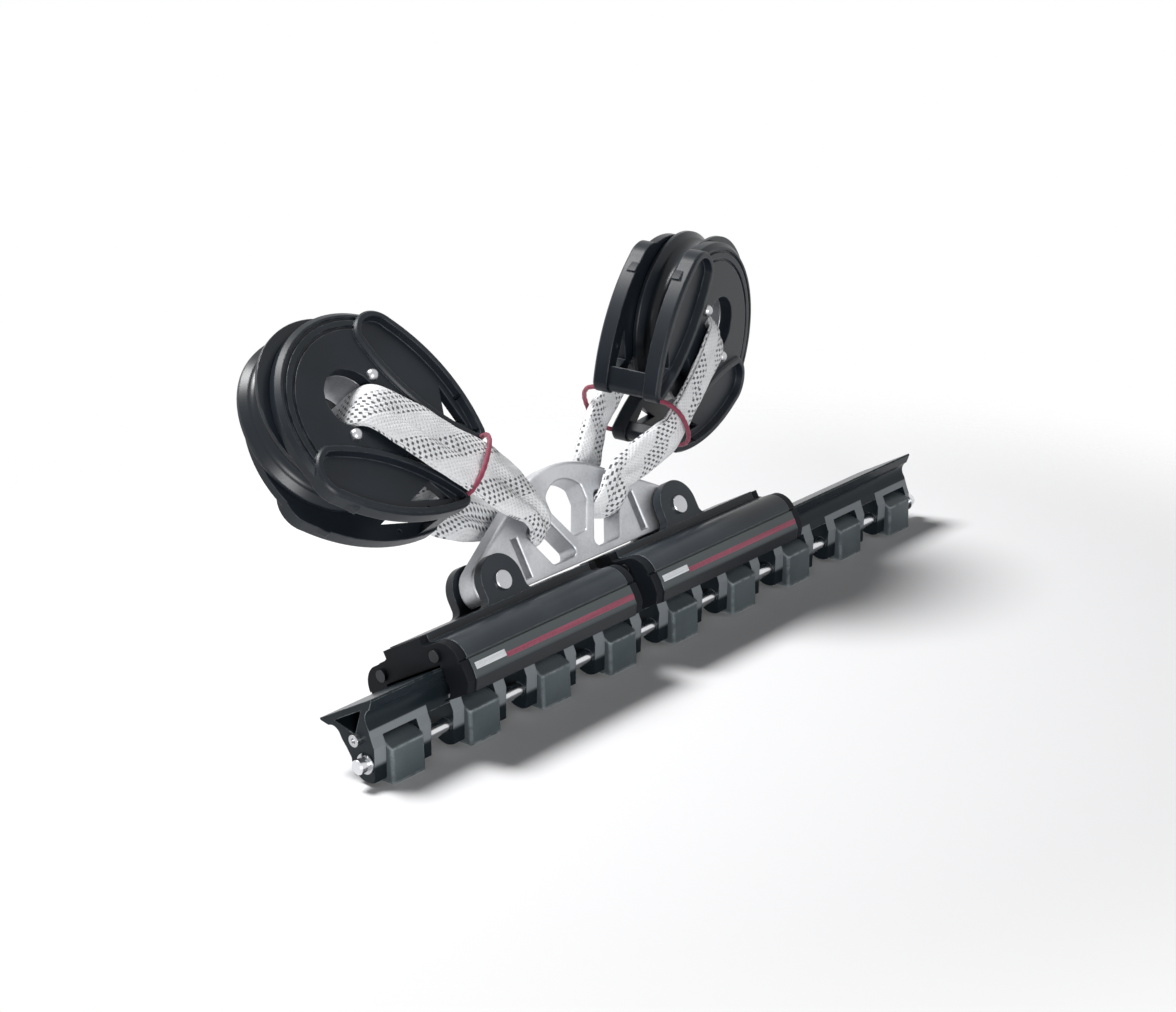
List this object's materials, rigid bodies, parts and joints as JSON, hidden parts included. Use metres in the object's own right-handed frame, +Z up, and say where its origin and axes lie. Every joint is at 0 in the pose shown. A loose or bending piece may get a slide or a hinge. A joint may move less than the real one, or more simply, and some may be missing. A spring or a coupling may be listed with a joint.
{
  "type": "track car",
  "caption": "Hinged-track traveller: coupled ball-bearing cars with a bridge and two loop blocks, on a tilting track with deck chocks.",
  "frame": {"origin": "on the deck plane, at the screw hole below the middle chock", "axes": "+X along the track, +Z up from the deck, +Y towards the side that the track leans to"},
  "size_m": [0.4488, 0.1428, 0.1907],
  "materials": {
    "chock_casting": "dark grey anodised casting",
    "stainless": "polished",
    "track_extrusion": "dark anodised",
    "car_shell": "dark blue grey anodised",
    "cap_plastic": "satin moulded",
    "bearing_plastic": "smooth",
    "bridge_alloy": "satin tumbled",
    "block_plastic": "satin moulded",
    "sheave_plastic": "satin",
    "hub_alloy": "machined",
    "woven_loop": "woven with dark flecks",
    "retaining_cord": "braided"
  },
  "bodies": {
    "base": {"chock_1": "chock_casting", "chock_2": "chock_casting", "chock_3": "chock_casting", "chock_4": "chock_casting", "chock_5": "chock_casting", "chock_6": "chock_casting", "chock_7": "chock_casting", "chock_8": "chock_casting", "chock_9": "chock_casting", "hinge_rod": "stainless", "left_rod_ring": "stainless", "right_rod_ring": "stainless"},
    "track": {"track": "track_extrusion", "track_end_screws": "stainless"},
    "carriage": {"bridge": "bridge_alloy", "left_car_shell": "car_shell", "left_car_left_cap": "cap_plastic", "left_car_right_cap": "cap_plastic", "left_car_balls": "bearing_plastic", "left_car_cap_screws": "stainless", "left_hinge_pin": "stainless", "left_hinge_pin_ring": "stainless", "right_car_shell": "car_shell", "right_car_left_cap": "cap_plastic", "right_car_right_cap": "cap_plastic", "right_car_balls": "bearing_plastic", "right_car_cap_screws": "stainless", "right_hinge_pin": "stainless", "right_hinge_pin_ring": "stainless"},
    "left_block": {"left_near_cheek": "block_plastic", "left_far_cheek": "block_plastic", "left_hub": "hub_alloy", "left_rollers": "bearing_plastic", "left_hub_screws": "stainless", "left_spacer_bars": "block_plastic", "left_bar_screws": "stainless", "left_loop": "woven_loop", "left_retaining_lines": "retaining_cord"},
    "left_wheel": {"left_sheave": "sheave_plastic"},
    "right_block": {"right_near_cheek": "block_plastic", "right_far_cheek": "block_plastic", "right_hub": "hub_alloy", "right_rollers": "bearing_plastic", "right_hub_screws": "stainless", "right_spacer_bars": "block_plastic", "right_bar_screws": "stainless", "right_loop": "woven_loop", "right_retaining_lines": "retaining_cord"},
    "right_wheel": {"right_sheave": "sheave_plastic"}
  },
  "joints": [
    {"name": "track_tilt", "type": "hinge", "parent": "base", "child": "track", "pos_m": [0, 0, 0.0111], "axis": [1, 0, 0], "range_deg": [0, 54.88]},
    {"name": "car_slide", "type": "slide", "parent": "track", "child": "carriage", "axis": [1, 0, 0], "range_m": [-0.04, 0.125]},
    {"name": "left_block_swing", "type": "hinge", "parent": "carriage", "child": "left_block", "pos_m": [-0.07765, 0.03531, 0.0791], "axis": [0.8712, 0.2262, 0.4357], "range_deg": [-45, 45]},
    {"name": "left_sheave_spin", "type": "hinge", "parent": "left_block", "child": "left_wheel", "pos_m": [-0.14883, 0.08094, 0.14052], "axis": [-0.008, 0.7982, -0.6023], "continuous": true},
    {"name": "right_block_swing", "type": "hinge", "parent": "carriage", "child": "right_block", "pos_m": [-0.01435, 0.03531, 0.0791], "axis": [0.8712, -0.2262, -0.4357], "range_deg": [-45, 45]},
    {"name": "right_sheave_spin", "type": "hinge", "parent": "right_block", "child": "right_wheel", "pos_m": [0.07834, 0.0468, 0.14358], "axis": [-0.1831, 0.9791, 0.0887], "continuous": true}
  ]
}
